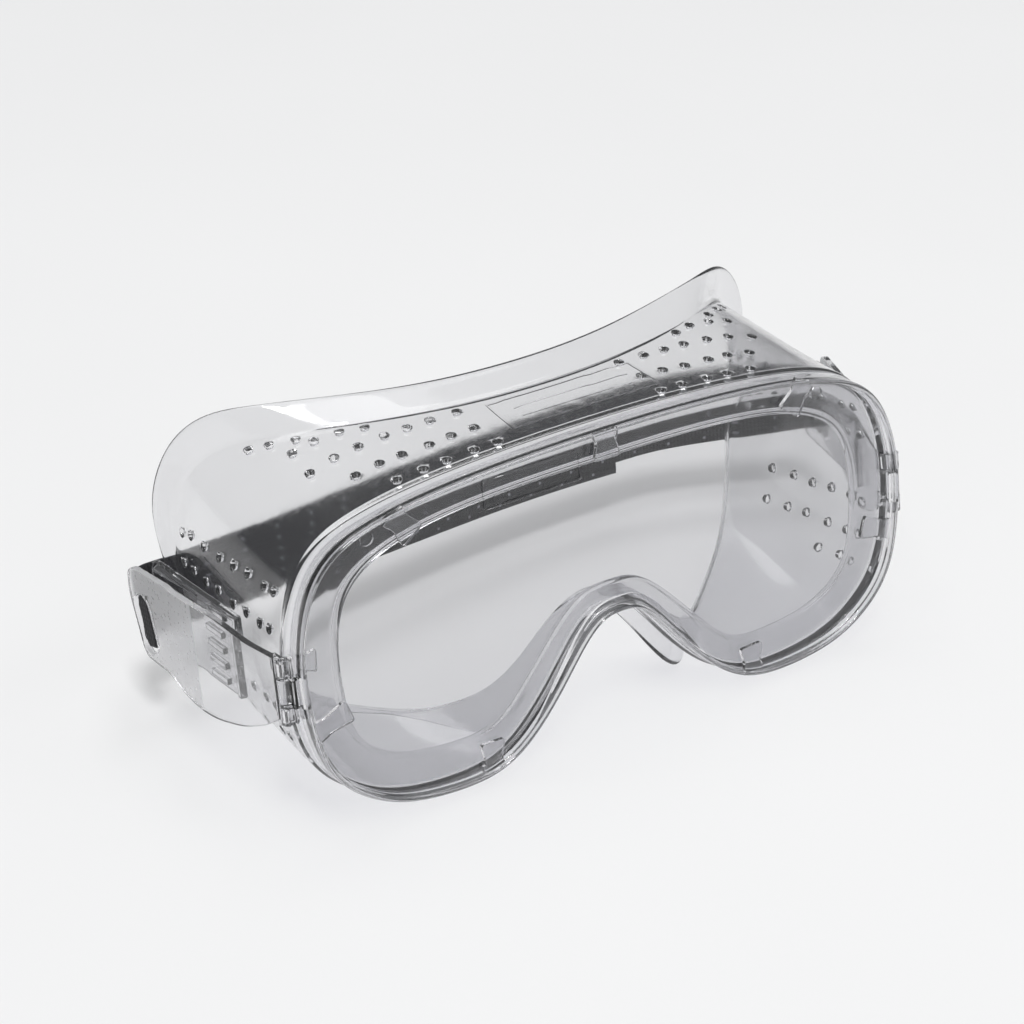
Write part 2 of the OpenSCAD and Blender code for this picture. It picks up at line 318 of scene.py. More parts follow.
# Outer skin of the side wall, from the shoulder behind the rim to the free edge of the face flange.
BODY_STEP = 0.8  # the wall stands this far outside the rim
shoulder = at(1, RIM_BACK + 2, BODY_STEP)
wall_dir = ridge - shoulder
wall_run = np.linalg.norm(wall_dir, axis=1)[:, None]
start_dir = np.tile([0.0, 1.0, 0.0], (STATIONS, 1)) * wall_run * 0.55 + wall_dir * 0.45
flange_dir = edge - ridge
wall_rings = [hermite(shoulder, start_dir, ridge, wall_dir, t) for t in np.linspace(0, 1, 13)]
flange_rings = [ridge + flange_dir * t for t in (0.06, 0.2, 0.42, 0.62, 0.82, 1.0)]
skin = wall_rings[:-1] + [hermite(shoulder, start_dir, ridge, wall_dir, 0.97), ridge] + flange_rings
skin = np.array(skin)  # rows x stations x 3
FOLD_ROW, FOLD_DEPTH = 13, 0.45  # the fold line where the flange leaves the wall
d_row = np.gradient(skin, axis=0)
d_ring = np.roll(skin, -1, 1) - np.roll(skin, 1, 1)
normal = np.cross(d_ring, d_row)
normal /= np.linalg.norm(normal, axis=2)[:, :, None]
if (normal[4] * out_dir).sum() < 0:
    normal = -normal
FULL_ROWS = 11  # rows of the wall at full thickness
thick = np.concatenate([np.full(FULL_ROWS, WALL), np.linspace(WALL, EDGE_T, len(skin) - FULL_ROWS)])
inner = skin - normal * thick[:, None, None]
skin[FOLD_ROW] -= normal[FOLD_ROW] * FOLD_DEPTH

# The rim's section, from the lens seat over the front lip and outside to the wall. The lip widens at the nose.
nose_gap = np.abs(np.arange(STATIONS) - NOSE) / STEPS
lip = 0.845 - 0.42 * np.clip(1 - (nose_gap / (7 / 3)) ** 2, 0, None)
front = [
    at(0.884, SEAT_Y), at(0.886, 1.2), at(0.885, -0.12), at(lip + 0.004, -0.2), at(lip - 0.008, -0.45),
    at(lip - 0.008, -0.85), at(lip + 0.01, -1.12), at(0.872, -1.22), at(0.888, -1.4), at(0.9, -1.95),
    at(0.925, -2.25), at(0.955, -RIM_FRONT), at(0.985, -2.2), at(0.998, -1.9), at(1, -1.4), at(1, 1.0),
    at(1, 3.6), at(1, 4.9, 0.1), at(1, 5.6, 0.42), at(1, 6.3, 0.8)]
flange_run = np.linalg.norm(flange_dir, axis=1)[:, None]
free_edge = [edge + (inner[-1] - edge) * 0.5 + flange_dir / flange_run * 0.35]
back_rows = [at(0.9, 5.6), at(0.8, RIM_BACK + 0.1), at(0.5, 4.6), at(0.24, 4.35), at(0.14, 4.1), at(0.09, 4.5),
             at(0.02, 4.75), at(-0.03, 4.5), at(-0.05, 3.6), at(-0.03, 2.6), at(0.0, SEAT_Y + 0.05),
             at(0.05, SEAT_Y), at(0.5, SEAT_Y)]
rows = front + list(skin) + free_edge + list(inner[::-1]) + back_rows
ROWS = len(rows)
points = np.array(rows).transpose(1, 0, 2).reshape(-1, 3)
faces = [(i * ROWS + k, i * ROWS + (k + 1) % ROWS, ((i + 1) % STATIONS) * ROWS + (k + 1) % ROWS,
          ((i + 1) % STATIONS) * ROWS + k) for i in range(STATIONS) for k in range(ROWS)]
body = mesh_object("frame_shell", points, faces)
fix_normals(body)
add_modifier(body, "SUBSURF", levels=1, render_levels=1)
apply_modifiers(body)


# ---------------------------------------------------------------- retaining tabs
def along(ring, f):
    """The ring's point at a station that needn't be whole."""
    i = math.floor(f)
    return ring[i % STATIONS] * (1 - (f - i)) + ring[(i + 1) % STATIONS] * (f - i)


# Each tab's place round the rim, in TAB_UNITS to the whole ring and mirrored about TAB_MIDDLE, its width, and
# the share of the rim that it leaves free.
TAB_UNITS, TAB_MIDDLE = 72, 1.5
TABS = [(TAB_MIDDLE, 7.0, 0.12), (7.5, 6.4, 0.10), (14.2, 5.2, 0.62), (17.2, 5.6, 0.05), (27.8, 6.2, 0.12)]


def tab(station, width, reach):
    """A tab that fans out over the lens, with rounded rims and a small foot at the rim."""
    f = station * STATIONS / TAB_UNITS
    root, tip = along(rim, f), along(window, f)
    inward = tip - root
    length = np.linalg.norm(inward) * (1 - reach)
    inward /= np.linalg.norm(inward)
    side = np.array([-inward[1], inward[0]])
    half = width / 2
    lower = [(0.7, -half * 0.95), (1.8, -half * 0.92), (length * 0.42, -half * 0.72),
             (length * 0.72, -half * 0.9), (length, -half * 1.04)]
    radii = [0.2, 0.6, 2.0, 1.2, 1.0]
    ring = rounded(lower + [(u, -v) for u, v in lower[::-1]], radii + radii[::-1], 5)

    def to_3d(u, v, w):
        p = root + inward * u + side * v
        return Vector((p[0], -0.17 - w, p[1]))

    return prism("tab", ring, 1.15, bevel=0.28, segments=3, to_3d=to_3d)


tabs = [tab(*TABS[0])]
for station, width, reach in TABS[1:]:
    tabs += [tab(station, width, reach), tab(2 * TAB_MIDDLE - station + TAB_UNITS, width, reach)]
boolean(body, joined("tabs", tabs), "UNION")

# ---------------------------------------------------------------- vents
def on_skin(test, pick):
    """The wall's point, and its normal, that makes test least, among those that pick allows."""
    best = None
    pts, nrm = skin[1:12], normal[1:12]  # the wall, short of the fold
    ok = pick(pts)
    d = np.where(ok, test(pts), 1e9)
    r, s = np.unravel_index(np.argmin(d), d.shape)
    # refine inside the neighbouring cells
    for dr in np.linspace(-1, 1, 9):
        for ds in np.linspace(-1, 1, 9):
            rr, ss = min(max(r + dr, 0), len(pts) - 1.001), s + ds
            i, j = int(math.floor(rr)), int(math.floor(ss))
            a, b = rr - i, ss - j
            j0, j1 = j % STATIONS, (j + 1) % STATIONS

            def mix(g):
                return ((g[i, j0] * (1 - b) + g[i, j1] * b) * (1 - a)
                        + (g[i + 1, j0] * (1 - b) + g[i + 1, j1] * b) * a)

            p = mix(pts)
            v = float(test(p[None, None])[0, 0])
            if best is None or v < best[0]:
                best = (v, p, mix(nrm))
    return Vector(best[1]), Vector(best[2]).normalized()


def on_brow(x, y):
    return on_skin(lambda p: (p[..., 0] - x) ** 2 + (p[..., 1] - y) ** 2, lambda p: p[..., 2] > 20)


def on_temple(side, y, z):
    return on_skin(lambda p: (p[..., 2] - z) ** 2 + (p[..., 1] - y) ** 2, lambda p: p[..., 0] * side > 55)


VENT_D = 2.2
VENT_FIRST = 8.8  # the first row's place back from the lens
VENT_ROW, VENT_COLUMN, VENT_PITCH = 8.6, 6.4, 7.1
BROW_FIRST = 22.6  # the first column's place out from the middle
BROW_ROWS = [(0, 2), (0, 2), (0, 2), (0, 3), (0, 3), (1, 4), (2, 5)]  # first and last row of each column
SIDE_ROWS = [(18, 8), (9.4, 8), (-9, 6), (-17.5, 6), (-24, 3)]  # height and count of each line


def vent_cutter(centre, direction):
    """A round pin with a flared head, so that the moulded hole has a soft outer rim."""
    r = VENT_D / 2
    profile = [(r * 0.96, -4.5), (r * 0.96, -0.5), (r * 1.02, -0.3), (r * 1.16, -0.1), (r * 1.42, 0.1),
               (r * 1.5, 2.2)]
    sides = 18
    turn = direction.to_track_quat("Z", "Y").to_matrix()
    angles = [2 * math.pi * k / sides for k in range(sides)]
    pts = [centre + turn @ Vector((rad * math.cos(a), rad * math.sin(a), h))
           for rad, h in profile for a in angles]
    quads = [(i * sides + k, i * sides + (k + 1) % sides, (i + 1) * sides + (k + 1) % sides, (i + 1) * sides + k)
             for i in range(len(profile) - 1) for k in range(sides)]
    last = (len(profile) - 1) * sides
    quads += [tuple(range(sides))[::-1], tuple(range(last, last + sides))]
    return mesh_object("vent", pts, quads)


vents = []
for side in (-1, 1):
    for column, (first, last) in enumerate(BROW_ROWS):
        for row in range(first, last + 1):
            vents.append(on_brow(side * (BROW_FIRST + VENT_COLUMN * column), VENT_FIRST + VENT_ROW * row))
    for z, count in SIDE_ROWS:
        for k in range(count):
            vents.append(on_temple(side, VENT_FIRST + VENT_PITCH * k, z))
cutters = [vent_cutter(p, n) for p, n in vents]
boolean(body, joined("cutters", cutters), "DIFFERENCE")


# ---------------------------------------------------------------- plain raised panel on the brow, moulding marks
LINE_STEP, ROOT = 2.2, 0.3  # length of each stretch of a raised line, and how deep it is set in


def brow_line(corners, closed, width=0.34, height=0.2):
    """A fine raised line on the brow through the given (x, y) corners."""
    stops = []
    ends = corners + corners[:1] if closed else corners
    for a, b in zip(ends, ends[1:]):
        count = max(1, round(math.hypot(b[0] - a[0], b[1] - a[1]) / LINE_STEP))
        stops += [(a[0] + (b[0] - a[0]) * k / count, a[1] + (b[1] - a[1]) * k / count) for k in range(count)]
    if not closed:
        stops.append(ends[-1])
    spots = [on_brow(x, y) for x, y in stops]
    pts = []
    for i, (p, n) in enumerate(spots):
        before = spots[i - 1][0] if closed or i else p
        after = spots[(i + 1) % len(spots)][0] if closed or i + 1 < len(spots) else p
        across = (after - before).cross(n).normalized()
        for a, h in ((-width, -ROOT), (width, -ROOT), (width * 0.6, height), (-width * 0.6, height)):
            pts.append(p + across * a + n * h)
    count = len(spots)
    quads = [(i * 4 + k, i * 4 + (k + 1) % 4, (i + 1) % count * 4 + (k + 1) % 4, (i + 1) % count * 4 + k)
             for i in range(count if closed else count - 1) for k in range(4)]
    if not closed:
        quads += [(3, 2, 1, 0), tuple(range(count * 4 - 4, count * 4))]
    obj = mesh_object("line", pts, quads)
    fix_normals(obj)
    return obj


PANEL = [(-15.5, 11.5), (24, 11.5), (24, 24.2), (-15.5, 24.2)]
boolean(body, brow_line(PANEL, True), "UNION")
for y in (15.6, 19.8):
    boolean(body, brow_line([(-11, y), (20, y)], False, width=0.25, height=0.14), "UNION")
# shallow round marks of the mould's pins, in the corners of the seat
marks = [tube(1.65, 1.2, (0, 1, 0), (side * 61.4, SEAT_Y, 27.6), 28) for side in (-1, 1)]
boolean(body, joined("marks", marks), "DIFFERENCE")


# ---------------------------------------------------------------- ear slots in the rim
EAR_H, EAR_Z, EAR_GAP = 6.8, -2.0, 0.4
PIN_R, PIN_H = 1.1, 15.4
slots = []
for side in (-1, 1):
    slot = block(side * 80 - 10, side * 80 + 10, -0.35, SEAT_Y, EAR_Z - EAR_H / 2 - EAR_GAP,
                 EAR_Z + EAR_H / 2 + EAR_GAP)
    boolean(slot, tube(2.35, 16, UP, (side * HINGE_X, HINGE_Y, EAR_Z)), "UNION")
    slots.append(slot)
boolean(body, joined("slots", slots), "DIFFERENCE")
set_smooth(body, 38)
place(body)
harden(body)
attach(body, "goggles")
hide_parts("frame_body")

# ---------------------------------------------------------------- lens
outline = window + (rim - window) * 0.86
lens = prism("lens_plate", [tuple(p) for p in outline[::-1]], LENS_T, bevel=0.3, segments=3,
             to_3d=lambda u, v, w: Vector((u, LENS_T - w, v)))
for side in (-1, 1):
    a, b = sorted((side * 72, side * HINGE_X))
    ear = block(a, b, 0.02, LENS_T - 0.02, EAR_Z - EAR_H / 2, EAR_Z + EAR_H / 2, 0.25)
    boolean(lens, ear, "UNION")
    boolean(lens, tube(1.9, EAR_H, UP, (side * HINGE_X, HINGE_Y, EAR_Z)), "UNION")
    boolean(lens, tube(PIN_R, PIN_H, UP, (side * HINGE_X, HINGE_Y, EAR_Z)), "UNION")
LABEL = (-32.6, -6.7, 26.1, 33.5)  # left, right, bottom and top of a plain raised outline on the lens
LINE = 0.5
label = prism("label", rectangle(*LABEL, 0.8), 0.3, bevel=0,
              holes=[rectangle(LABEL[0] + LINE, LABEL[1] - LINE, LABEL[2] + LINE, LABEL[3] - LINE, 0.5)],
              to_3d=lambda u, v, w: Vector((u, 0.1 - w, v)))
boolean(lens, label, "UNION")
set_smooth(lens, 35)
place(lens)
harden(lens)
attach(lens, "goggles")
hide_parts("lens")

# ---------------------------------------------------------------- clips
ARM_LEN, ARM_T = 64.0, 1.6
SLOT_U, SLOT_Z, SLOT_W, SLOT_H = ARM_LEN - 6.2, -4.3, 7.0, 15.0
SLOT_TURN = math.radians(-12)
KEEPER_FRONT, KEEPER_BACK, KEEPER_IN, KEEPER_T = 19.0, 63.0, -0.3, 1.2
KEEPER_TOP, KEEPER_LOW = 9.4, -10.6
KNUCKLE_R, KNUCKLE_H, KNUCKLE_LOW = 2.0, 3.7, -9.5
ARM_TOP = 5.5  # the arm's upper edge at the hinge
FOLD_U, FOLD_SOFT = 32.0, 1.5  # where the arm bends, and half the length of the bend
SPLAY_FRONT, SPLAY_BACK = math.tan(math.radians(7.0)), math.tan(math.radians(4.0))
FROST_FROM = 36.0  # the arm's inner face is frosted from here back, where the webbing lies against it
FROSTED = 1  # material slot of an arm's frosted face


def on_hinge(side):
    """Clips are drawn for the right side with the hinge as Z and the arm running back along Y."""
    m = Matrix.Translation((side * HINGE_X, HINGE_Y, 0))
    if side < 0:
        return m @ Matrix.Scale(-1, 4, (1, 0, 0))
    return m @ Matrix.Rotation(-math.radians(SWING), 4, "Z")


ARM_OUTLINE = [(3.0, ARM_TOP), (13, 5.7), (20, 6.9), (27, 8.1), (43.5, 8.6), (46, 9.2), (61.2, 9.4), (63.2, 8),
               (ARM_LEN, 3), (60.5, -11), (59, -13), (54, -13.6), (49, -14), (43.5, -17), (37, -18.6),
               (29, -18.8), (18, -16.8), (9, -13.2), (3.0, KNUCKLE_LOW)]
ARM_RADII = [0.3, 3.0, 3.0, 3.0, 1.0, 1.0, 1.0, 2.0, 3.0, 1.5, 2.0, 2.5, 3.0, 3.0, 3.0, 4.0, 4.0, 3.0, 0.5]


def arm_x(u):
    """Sideways place of the arm's middle at a distance from the hinge: two flats with a soft fold between."""
    if u < FOLD_U - FOLD_SOFT:
        return u * SPLAY_FRONT
    if u > FOLD_U + FOLD_SOFT:
        return FOLD_U * SPLAY_FRONT + (u - FOLD_U) * SPLAY_BACK
    t = (u - FOLD_U + FOLD_SOFT) / (2 * FOLD_SOFT)
    start = (FOLD_U - FOLD_SOFT) * SPLAY_FRONT
    return start + 2 * FOLD_SOFT * (SPLAY_FRONT * t + (SPLAY_BACK - SPLAY_FRONT) * t * t / 2)


def arm_inside(u):
    return arm_x(u) - ARM_T / 2


def strap_slot():
    """Outline of the slot in an arm: a leaning oval with straight sides."""
    slot = []
    for end, base in ((1, 0), (-1, math.pi)):
        for k in range(13):
            a = base + math.pi * k / 12
            slot.append((SLOT_W / 2 * math.cos(a), end * (SLOT_H - SLOT_W) / 2 + SLOT_W / 2 * math.sin(a)))
    cos, sin = math.cos(SLOT_TURN), math.sin(SLOT_TURN)
    return [(SLOT_U + x * cos - y * sin, SLOT_Z + x * sin + y * cos) for x, y in slot]


def clip_arm(name, side):
    """A clip's outer plate with its two knuckles."""
    ring = []
    corners = rounded(ARM_OUTLINE, ARM_RADII)
    for a, b in zip(corners, corners[1:] + corners[:1]):
        n = max(1, int(math.hypot(b[0] - a[0], b[1] - a[1]) / 2.5))
        ring += [(a[0] + (b[0] - a[0]) * k / n, a[1] + (b[1] - a[1]) * k / n) for k in range(n)]
    obj = prism(name, ring, ARM_T, bevel=0.35, segments=3, holes=[strap_slot()])
    # cut across the plate so that it can fold
    bm = bmesh.new()
    bm.from_mesh(obj.data)
    for u in (*np.linspace(FOLD_U - 2, FOLD_U + 2, 7), FROST_FROM):
        bmesh.ops.bisect_plane(bm, geom=bm.verts[:] + bm.edges[:] + bm.faces[:], plane_co=(u, 0, 0),
                               plane_no=(1, 0, 0))
    for v in bm.verts:
        u, z, w = v.co
        v.co = Vector((arm_x(u) - ARM_T / 2 + w, u, z))
    face_outwards(bm)
    bm.to_mesh(obj.data)
    bm.free()
    for low in (KNUCKLE_LOW, ARM_TOP - KNUCKLE_H):
        barrel = tube(KNUCKLE_R, KNUCKLE_H, UP, (0, 0, low + KNUCKLE_H / 2))
        web = block(-ARM_T / 2, ARM_T / 2, 0.5, 5, low + 0.02, low + KNUCKLE_H - 0.02, 0.1)
        boolean(barrel, web, "UNION")
        boolean(obj, barrel, "UNION")
    boolean(obj, tube(PIN_R + 0.05, 18, UP, (0, 0, EAR_Z)), "DIFFERENCE")
    boolean(obj, block(-0.8, 0.8, -4, 0, -11, 8), "DIFFERENCE")  # the mouth that snaps over the pivot
    for poly in obj.data.polygons:
        if poly.center.y > FROST_FROM and poly.normal.x < -0.9:
            poly.material_index = FROSTED
    obj.name = name
    set_smooth(obj, 35)
    place(obj, on_hinge(side))
    harden(obj)
    return obj


def strap_keeper(name, side):
    """A clip's inner plate: front wall, ladder of ribs and the roof that joins it to the arm."""
    plate = rounded([(KEEPER_FRONT, KEEPER_TOP), (KEEPER_BACK - 2, KEEPER_TOP), (KEEPER_BACK, KEEPER_TOP - 2),
                     (KEEPER_BACK, KEEPER_LOW + 3), (KEEPER_BACK - 3, KEEPER_LOW), (KEEPER_FRONT, KEEPER_LOW)],
                    [0.8, 2, 2, 2, 2, 0.8])
    obj = prism(name, plate, KEEPER_T, bevel=0.3, to_3d=lambda u, z, w: Vector((KEEPER_IN + w, u, z)))
    reach = arm_inside(KEEPER_FRONT) - 0.02
    boolean(obj, block(KEEPER_IN + 0.1, reach, KEEPER_FRONT + 0.05, KEEPER_FRONT + 1.5, KEEPER_LOW + 0.3,
                       KEEPER_TOP - 0.3, 0.2), "UNION")
    top = arm_inside(KEEPER_FRONT + 5) - 0.1
    for step in range(5):
        z = KEEPER_LOW + 2 + step * 3.8
        boolean(obj, block(KEEPER_IN + 0.4, top, KEEPER_FRONT + 5, KEEPER_FRONT + 13, z, z + 1.6, 0.25), "UNION")
    roof = [(KEEPER_IN + 0.2, KEEPER_FRONT + 0.2), (arm_inside(KEEPER_FRONT) - 0.1, KEEPER_FRONT + 0.2)]
    roof += [(arm_inside(u) - 0.1, u) for u in (24, 29, 34)]
    roof += [(arm_inside(u) - 1.9, u) for u in (37, 42, 47, 52, 57)] + [(KEEPER_IN + 0.2, 60)]
    roof_low = KEEPER_TOP - 1.1
    boolean(obj, prism("roof", roof, 1.0, bevel=0.2, segments=2,
                       to_3d=lambda x, y, w: Vector((x, y, roof_low + w))), "UNION")
    obj.name = name
    set_smooth(obj, 35)
    place(obj, on_hinge(side))
    harden(obj)
    return obj


for side, word in ((-1, "left"), (1, "right")):
    arm = clip_arm(word + "_arm", side)
    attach(arm, word + "_clip")
    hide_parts(word + "_clip_arm")
    keeper = strap_keeper(word + "_keeper", side)
    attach(keeper, word + "_clip")
    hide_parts(word + "_strap_keeper")

# ---------------------------------------------------------------- strap
STRAP_W, STRAP_T, STRAP_LOW = 18.0, 1.3, -10.5
STRAP_GAP = 0.12  # between the webbing and what it lies on
BEND_MID = KEEPER_IN + KEEPER_T / 2
BEND_R = KEEPER_T / 2 + 0.2 + STRAP_T / 2
LEAD = 6.0  # straight run behind the keeper before the slack begins
SPAN_Y = HINGE_Y + KEEPER_BACK + BEND_R
SPAN_LEFT, SPAN_RIGHT, BOW_PEAK, STRAP_BOW = -78.0, 60.0, 47.0, 12.0


def bow(x):
    """Place back from the lens of the slack strap behind the goggles."""
    return SPAN_Y + STRAP_BOW * (1 - math.cos((x - SPAN_LEFT) * math.pi / (BOW_PEAK - SPAN_LEFT))) / 2


def clip_path(side):
    """Middle of the webbing: along the arm's inner face, round the keeper's end, to the lead."""
    m = on_hinge(side)
    leg = [(arm_inside(y) - STRAP_GAP - STRAP_T / 2, y) for y in np.linspace(37, 62.6, 16)]
    end_x, end_y = leg[-1]
    turn_x, turn_y = 0.9, KEEPER_BACK + BEND_R - end_y
    pts = leg + [(turn_x + (end_x - turn_x) * math.cos(a), end_y + turn_y * math.sin(a))
                 for a in np.linspace(0, math.pi / 2, 12)[1:]]
    pts += [(BEND_MID - LEAD * t, KEEPER_BACK + BEND_R) for t in (0.35, 0.7, 1.0)]
    return [m @ Vector((x, y, 0)) for x, y in pts]


left_path, right_path = clip_path(-1), clip_path(1)
a, b = left_path[-1], right_path[-1]
slack = [Vector((x, bow(x), 0)) for x in np.linspace(a.x + 4, SPAN_RIGHT, 48)]
lead_dir = (right_path[-1] - right_path[-2]).normalized()
slack_dir = (slack[-1] - slack[-2]).normalized()
reach = (b - slack[-1]).length * 0.9
join = [Vector(hermite(np.array(slack[-1]), np.array(slack_dir) * reach, np.array(b),
                       np.array(-lead_dir) * reach, t)) for t in np.linspace(0, 1, 13)[1:-1]]
path = left_path + slack + join + right_path[::-1]


def run_lengths(pts):
    """Length along a path up to each of its points."""
    run = [0.0]
    for p, q in zip(pts, pts[1:]):
        run.append(run[-1] + (q - p).length)
    return run


lengths = run_lengths(path)
TIP_RUN = 26.0  # length over which a trimmed end evens out
TIP_CUT, TIP_HEIGHT = 18.5, 2.6  # how far a trimmed end falls back, and over what height


def tip_cut(v):
    """How far the trimmed end of the webbing falls back at a height above its lower edge."""
    return TIP_CUT * min(1.0, max(0.0, (STRAP_W - v) / TIP_HEIGHT))


BULGE = 1.25


def slot_bulge(hinge, vert):
    """The webbing presses out into the arm's slot, short of its edges."""
    x, u, z = hinge.inverted() @ Vector(vert)
    a, b, cos, sin = u - SLOT_U, z - SLOT_Z, math.cos(SLOT_TURN), math.sin(SLOT_TURN)
    over, up = abs(a * cos + b * sin), abs(b * cos - a * sin)
    rise = min((SLOT_W / 2 - 0.35 - over) / 1.1, (SLOT_H / 2 - 0.6 - up) / 1.4)
    rise = min(1.0, max(0.0, rise))
    return tuple(hinge @ Vector((x + BULGE * rise * rise * (3 - 2 * rise), u, z)))


def band(name, start, stop, base=STRAP_LOW, trimmed=0, along_path=None, droop=0.0):
    """Webbing along the path between two places on it, with soft rounded selvedges. trimmed is -1 or 1 where
    the first or last end is cut on a slant; droop lowers the far end."""
    pts = along_path or path
    run = run_lengths(pts)
    xs, ys = np.array([p.x for p in pts]), np.array([p.y for p in pts])
    n = max(2, int((stop - start) / 1.3))
    across = np.linspace(0, STRAP_W, 15)
    cross = [(v, 1) for v in across] + [(v, -1) for v in across[::-1]]
    verts, uvs = [], []
    for i in range(n + 1):
        for v, w in cross:
            s = start + (stop - start) * i / n
            if trimmed < 0:
                s += tip_cut(v) * max(0.0, 1 - (s - start) / TIP_RUN)
            if trimmed > 0:
                s -= tip_cut(v) * max(0.0, 1 - (stop - s) / TIP_RUN)
            s0, s1 = max(0.0, s - 0.5), min(run[-1], s + 0.5)
            tx = np.interp(s1, run, xs) - np.interp(s0, run, xs)
            ty = np.interp(s1, run, ys) - np.interp(s0, run, ys)
            size = math.hypot(tx, ty)
            t = STRAP_T / 2 * (0.62 + 0.38 * min(1, min(v, STRAP_W - v) / 1.2)) * w
            verts.append((np.interp(s, run, xs) + ty / size * t, np.interp(s, run, ys) - tx / size * t,
                          base + v - droop * (s - start) / (stop - start)))
            uvs.append((s, v))
    if trimmed:
        verts = [slot_bulge(on_hinge(trimmed), v) for v in verts]
    m = len(cross)
    quads = [(i * m + k, i * m + (k + 1) % m, (i + 1) * m + (k + 1) % m, (i + 1) * m + k)
             for i in range(n) for k in range(m)]
    half = m // 2
    for i in (0, n):
        for k in range(half - 1):
            quad = (i * m + k, i * m + k + 1, i * m + m - 2 - k, i * m + m - 1 - k)
            quads.append(quad if i == 0 else quad[::-1])
    obj = mesh_object(name, verts, quads)
    fix_normals(obj)
    layer = obj.data.uv_layers.new(name="webbing")
    for loop in obj.data.loops:
        layer.data[loop.index].uv = (uvs[loop.vertex_index][0] / 100, uvs[loop.vertex_index][1] / 100)
    set_smooth(obj, 50)
    place(obj)
    return obj


total = lengths[-1]
cut_a = lengths[len(left_path) - 1] + 24
cut_b = lengths[len(left_path) + len(slack) - 1] - 8
left_band = band("left_band", 0, cut_a, trimmed=-1)
middle_band = band("strap_band", cut_a, cut_b)
right_band = band("right_band", cut_b, total, trimmed=1)
TAIL_BACK = STRAP_T + STRAP_GAP
TAIL_REACH, TAIL_DROP, TAIL_DROOP = 132, 0.6, 3.0
tail_path = [Vector((x, bow(x) + TAIL_BACK, 0)) for x in np.linspace(SPAN_LEFT + 0.5, SPAN_LEFT + TAIL_REACH, 70)]
tail = band("tail_band", 0, run_lengths(tail_path)[-1], base=STRAP_LOW - TAIL_DROP, along_path=tail_path,
            droop=TAIL_DROOP)


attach(middle_band, "goggles")
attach(tail, "goggles")
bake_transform(left_band)
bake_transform(right_band)
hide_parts("left_strap_loop")
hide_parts("strap_span")
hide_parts("right_strap_loop")
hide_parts("strap_tail")


# ---------------------------------------------------------------- materials
class Nodes:
    """A material and a short way to add its nodes: a value sets a socket, a socket is linked."""

    def __init__(self, name):
        self.mat = bpy.data.materials.new(name)
        self.mat.use_nodes = True
        self.tree = self.mat.node_tree
        self.tree.nodes.clear()

    def add(self, kind, inputs=None, **settings):
        node = self.tree.nodes.new(kind)
        for key, value in settings.items():
            setattr(node, key, value)
        for key, value in (inputs or {}).items():
            if isinstance(value, bpy.types.NodeSocket):
                self.tree.links.new(value, node.inputs[key])
            else:
                node.inputs[key].default_value = value
        return node


def ramp(n, fac, stops):
    """Colour ramp over (position, rgb) stops."""
    node = n.add("ShaderNodeValToRGB", {"Fac": fac})
    el = node.color_ramp.elements
    while len(el) < len(stops):
        el.new(0.5)
    for e, (pos, col) in zip(el, stops):
        e.position = pos
        e.color = (*col, 1)
    return node.outputs["Color"]


def clear_plastic(name, tint, rough, ior, wave, wave_scale, haze=0.0):
    """Clear moulded plastic: transmission with a soft ripple and light rubbing in its roughness. haze is the
    share of milky plastic in it. Shadow and diffuse rays pass, so that the floor below isn't lit twice."""
    n = Nodes(name)
    coord = n.add("ShaderNodeTexCoord").outputs["Object"]
    ripple = n.add("ShaderNodeTexNoise", {"Vector": coord, "Scale": wave_scale, "Detail": 2.0, "Roughness": 0.5})
    fine = n.add("ShaderNodeTexNoise", {"Vector": coord, "Scale": 900.0, "Detail": 3.0, "Roughness": 0.6})
    rough_map = ramp(n, fine.outputs["Fac"], [(0.3, (rough * 0.6,) * 3), (0.75, (rough * 1.7,) * 3)])
    bump = n.add("ShaderNodeBump", {"Height": ripple.outputs["Fac"], "Strength": wave, "Distance": 0.001})
    colour = ramp(n, ripple.outputs["Fac"], [(0.3, tint), (0.8, tuple(min(1, c * 1.02) for c in tint))])
    bsdf = n.add("ShaderNodeBsdfPrincipled", {"Base Color": colour, "Roughness": rough_map, "IOR": ior,
                                              "Transmission Weight": 1.0, "Normal": bump.outputs["Normal"]})
    clear = n.add("ShaderNodeBsdfTransparent", {"Color": (0.965, 0.965, 0.97, 1)})
    milk = n.add("ShaderNodeBsdfDiffuse", {"Color": (0.86, 0.86, 0.87, 1), "Normal": bump.outputs["Normal"]})
    cloudy = n.add("ShaderNodeMixShader", {0: haze, 1: bsdf.outputs[0], 2: milk.outputs[0]})
    rays = n.add("ShaderNodeLightPath").outputs
    passing = n.add("ShaderNodeMath", {0: rays["Is Shadow Ray"], 1: rays["Is Diffuse Ray"]}, operation="MAXIMUM")
    mix = n.add("ShaderNodeMixShader", {0: passing.outputs[0], 1: cloudy.outputs[0], 2: clear.outputs[0]})
    n.add("ShaderNodeOutputMaterial", {"Surface": mix.outputs[0]})
    return n.mat


